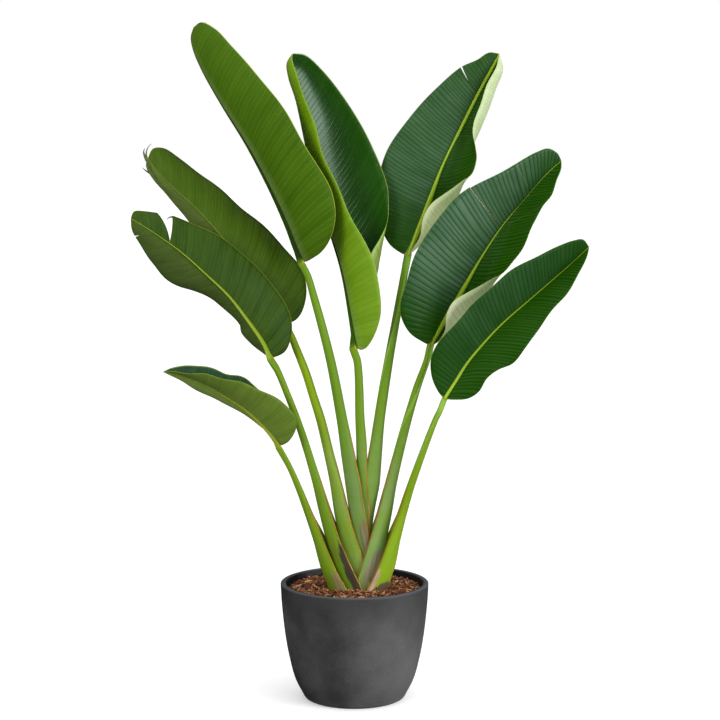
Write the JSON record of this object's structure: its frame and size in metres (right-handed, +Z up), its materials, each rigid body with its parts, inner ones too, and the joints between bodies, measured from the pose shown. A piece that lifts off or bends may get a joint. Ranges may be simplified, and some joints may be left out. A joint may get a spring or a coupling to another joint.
{
  "type": "potted bird of paradise plant",
  "caption": "Large bird of paradise house plant: upright paddle leaves in a flat fan on long clasping stalks, in a round matte planter with bark-covered soil.",
  "frame": {"origin": "centre of the planter's flat foot, on the surface it stands on", "axes": "+Z up, +X to the right along the leaf fan as seen from the front, -Y towards the viewer at the front"},
  "size_m": [0.8962, 0.3, 1.3563],
  "materials": {
    "leaf_blade": "satin leaf",
    "leaf_stalk": "satin leaf stalk",
    "pot": "matte, fine sandy speckle",
    "soil": "rough bark and coir"
  },
  "bodies": {
    "root": {"blade_1": "leaf_blade", "blade_2": "leaf_blade", "blade_3": "leaf_blade", "blade_4": "leaf_blade", "blade_5": "leaf_blade", "blade_6": "leaf_blade", "blade_7": "leaf_blade", "blade_8": "leaf_blade", "stalk_1": "leaf_stalk", "stalk_2": "leaf_stalk", "stalk_3": "leaf_stalk", "stalk_4": "leaf_stalk", "stalk_5": "leaf_stalk", "stalk_6": "leaf_stalk", "stalk_7": "leaf_stalk", "stalk_8": "leaf_stalk", "pot": "pot", "soil": "soil"}
  },
  "joints": []
}
